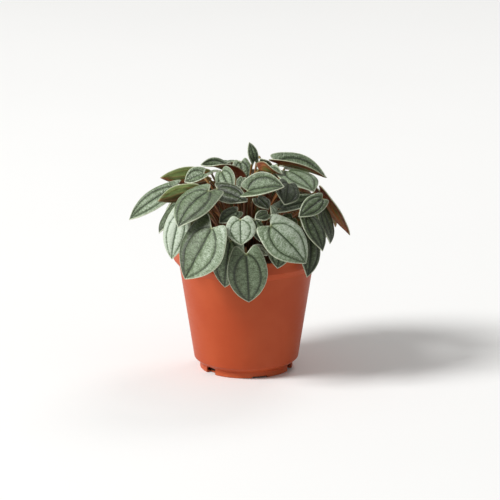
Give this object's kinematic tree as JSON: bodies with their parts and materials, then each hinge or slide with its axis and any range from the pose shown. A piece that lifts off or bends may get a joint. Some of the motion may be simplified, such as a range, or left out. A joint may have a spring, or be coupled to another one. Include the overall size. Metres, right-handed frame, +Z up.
{
  "type": "potted peperomia",
  "caption": "Potted house plant: a dense dome of heart-shaped, quilted silver-green leaves on arching stalks over a tapered round plastic nursery pot.",
  "frame": {"origin": "centre of the pot's foot, on the surface that the pot stands on", "axes": "+Z up; -Y towards the front; +X to the front viewer's right"},
  "size_m": [0.1587, 0.1451, 0.1652],
  "materials": {
    "pot": "satin terracotta-coloured moulded plastic",
    "soil": null,
    "crown": "short brown fleshy stems, matte",
    "leaf": "thick, quilted silver-green leaf with dark veins, a pale margin, a red-brown underside and an orange-brown stalk; satin"
  },
  "bodies": {
    "root": {"pot": "pot", "soil": "soil", "crown": "crown", "leaf_far_left": "leaf", "leaf_left_under": "leaf", "leaf_up_left": "leaf", "leaf_curl_left": "leaf", "leaf_top_left": "leaf", "leaf_silver_top": "leaf", "leaf_dark_left": "leaf", "leaf_upper_left": "leaf", "leaf_left_dark": "leaf", "leaf_left_silver": "leaf", "leaf_big_left": "leaf", "leaf_heart": "leaf", "leaf_bottom": "leaf", "leaf_bottom_left": "leaf", "leaf_centre": "leaf", "leaf_under_centre": "leaf", "leaf_small_mid": "leaf", "leaf_inner_left": "leaf", "leaf_small_dark": "leaf", "leaf_between": "leaf", "leaf_pale": "leaf", "leaf_curl_up": "leaf", "leaf_grey_back": "leaf", "leaf_top_red": "leaf", "leaf_upright": "leaf", "leaf_back_small": "leaf", "leaf_right_inner": "leaf", "leaf_top_right": "leaf", "leaf_right_silver": "leaf", "leaf_right_dark": "leaf", "leaf_right_edge": "leaf", "leaf_right_green": "leaf", "leaf_right_red": "leaf", "leaf_right_low": "leaf", "leaf_right_behind": "leaf", "leaf_right_bottom": "leaf", "leaf_big_right": "leaf", "leaf_tip_low": "leaf", "leaf_back_high_1": "leaf", "leaf_back_high_2": "leaf", "leaf_back_high_3": "leaf", "leaf_back_high_4": "leaf", "leaf_back_middle_1": "leaf", "leaf_back_middle_2": "leaf", "leaf_back_middle_3": "leaf", "leaf_back_middle_4": "leaf", "leaf_back_middle_5": "leaf", "leaf_back_middle_6": "leaf", "leaf_back_middle_7": "leaf", "leaf_back_middle_8": "leaf", "leaf_back_low_1": "leaf", "leaf_back_low_2": "leaf", "leaf_back_low_3": "leaf", "leaf_back_low_4": "leaf", "leaf_back_low_5": "leaf", "leaf_back_low_6": "leaf", "leaf_back_low_7": "leaf"}
  },
  "joints": []
}
